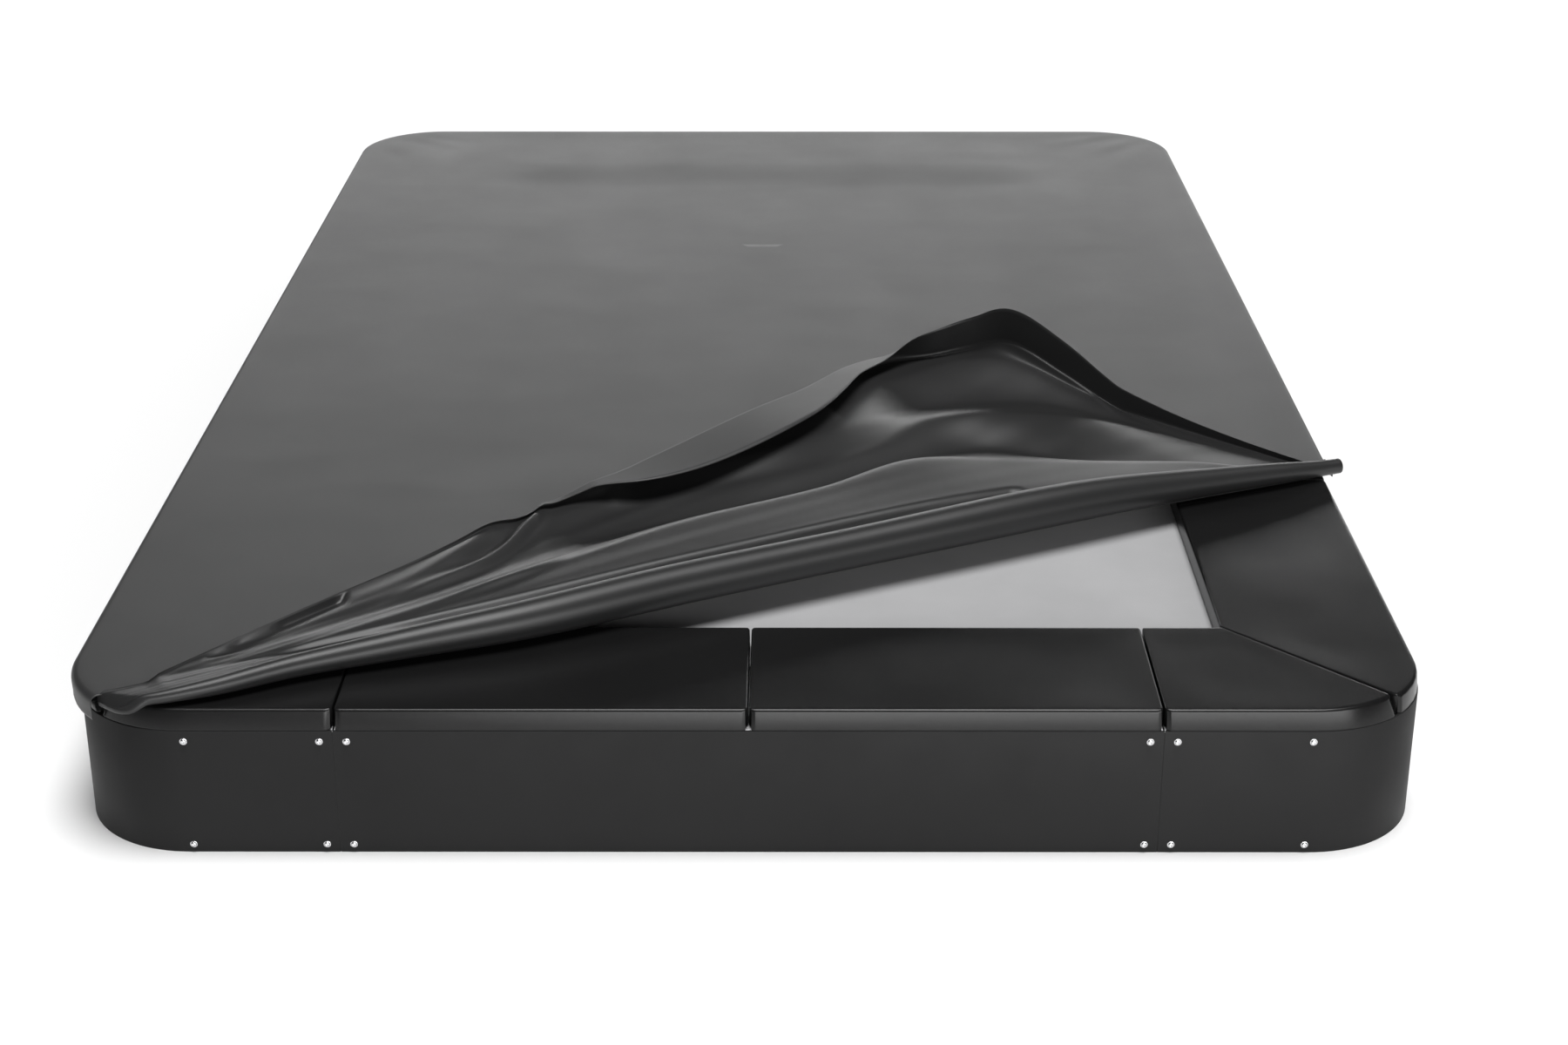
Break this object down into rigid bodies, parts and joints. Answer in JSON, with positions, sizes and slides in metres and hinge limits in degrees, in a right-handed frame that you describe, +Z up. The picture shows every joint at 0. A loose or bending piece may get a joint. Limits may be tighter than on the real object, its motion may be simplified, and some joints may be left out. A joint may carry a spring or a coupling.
{
  "type": "rectangular garden trampoline",
  "caption": "Low rectangular garden trampoline for flat ground, with screwed wall panels, safety pads, sprung bed and a weather cover with one corner folded back.",
  "frame": {"origin": "on the ground, under the centre of the frame", "axes": "+X across the width, +Y along the length towards the closed end, +Z up; the cover is folded back at the -Y, +X corner"},
  "size_m": [3.088, 4.899, 0.579],
  "materials": {
    "wall_panel": "satin",
    "galvanised_steel": "satin",
    "spring_steel": "satin",
    "screw_steel": "polished",
    "pad_vinyl": "satin",
    "bed_fabric": "matte",
    "cover_fabric": "matte"
  },
  "bodies": {
    "frame": {"base_rail_back": "galvanised_steel", "base_rail_back_left": "galvanised_steel", "base_rail_back_right": "galvanised_steel", "base_rail_front": "galvanised_steel", "base_rail_front_left": "galvanised_steel", "base_rail_front_right": "galvanised_steel", "base_rail_left": "galvanised_steel", "base_rail_right": "galvanised_steel", "pad_back_corner_left": "pad_vinyl", "pad_back_corner_right": "pad_vinyl", "pad_back_middle_left": "pad_vinyl", "pad_back_middle_right": "pad_vinyl", "pad_front_corner_left": "pad_vinyl", "pad_front_corner_right": "pad_vinyl", "pad_front_middle_left": "pad_vinyl", "pad_front_middle_right": "pad_vinyl", "pad_left_back": "pad_vinyl", "pad_left_front": "pad_vinyl", "pad_left_middle": "pad_vinyl", "pad_right_back": "pad_vinyl", "pad_right_front": "pad_vinyl", "pad_right_middle": "pad_vinyl", "panel_back": "wall_panel", "panel_back_left": "wall_panel", "panel_back_right": "wall_panel", "panel_front": "wall_panel", "panel_front_left": "wall_panel", "panel_front_right": "wall_panel", "panel_left_back": "wall_panel", "panel_left_front": "wall_panel", "panel_right_back": "wall_panel", "panel_right_front": "wall_panel", "post_back_left": "galvanised_steel", "post_back_right": "galvanised_steel", "post_front_left": "galvanised_steel", "post_front_right": "galvanised_steel", "post_left_back": "galvanised_steel", "post_left_front": "galvanised_steel", "post_left_middle": "galvanised_steel", "post_right_back": "galvanised_steel", "post_right_front": "galvanised_steel", "post_right_middle": "galvanised_steel", "top_rail_back": "galvanised_steel", "top_rail_back_left": "galvanised_steel", "top_rail_back_right": "galvanised_steel", "top_rail_front": "galvanised_steel", "top_rail_front_left": "galvanised_steel", "top_rail_front_right": "galvanised_steel", "top_rail_left": "galvanised_steel", "top_rail_right": "galvanised_steel"},
    "bed": {"jumping_bed": "bed_fabric", "springs_back": "spring_steel", "springs_front": "spring_steel", "springs_left": "spring_steel", "springs_right": "spring_steel"},
    "cover": {"cover_sheet": "cover_fabric", "cover_skirt": "cover_fabric"},
    "cover_corner": {"cover_corner_flap": "cover_fabric"}
  },
  "joints": [
    {"name": "bed_bounce", "type": "slide", "parent": "frame", "child": "bed", "axis": [0, 0, 1], "range_m": [-0.25, 0], "stiffness_N_per_m": 7000, "springref_m": 0.08, "deforming": ["springs_back", "springs_front", "springs_left", "springs_right"]},
    {"name": "cover_lift", "type": "slide", "parent": "frame", "child": "cover", "axis": [0, 0, 1], "range_m": [0, 0.6]},
    {"name": "cover_unfold", "type": "hinge", "parent": "cover", "child": "cover_corner", "pos_m": [-1.46, -2.375, 0.36], "axis": [0.9179, 0.3967, 0], "range_deg": [0, 180], "deforming": ["cover_corner_flap"]}
  ]
}
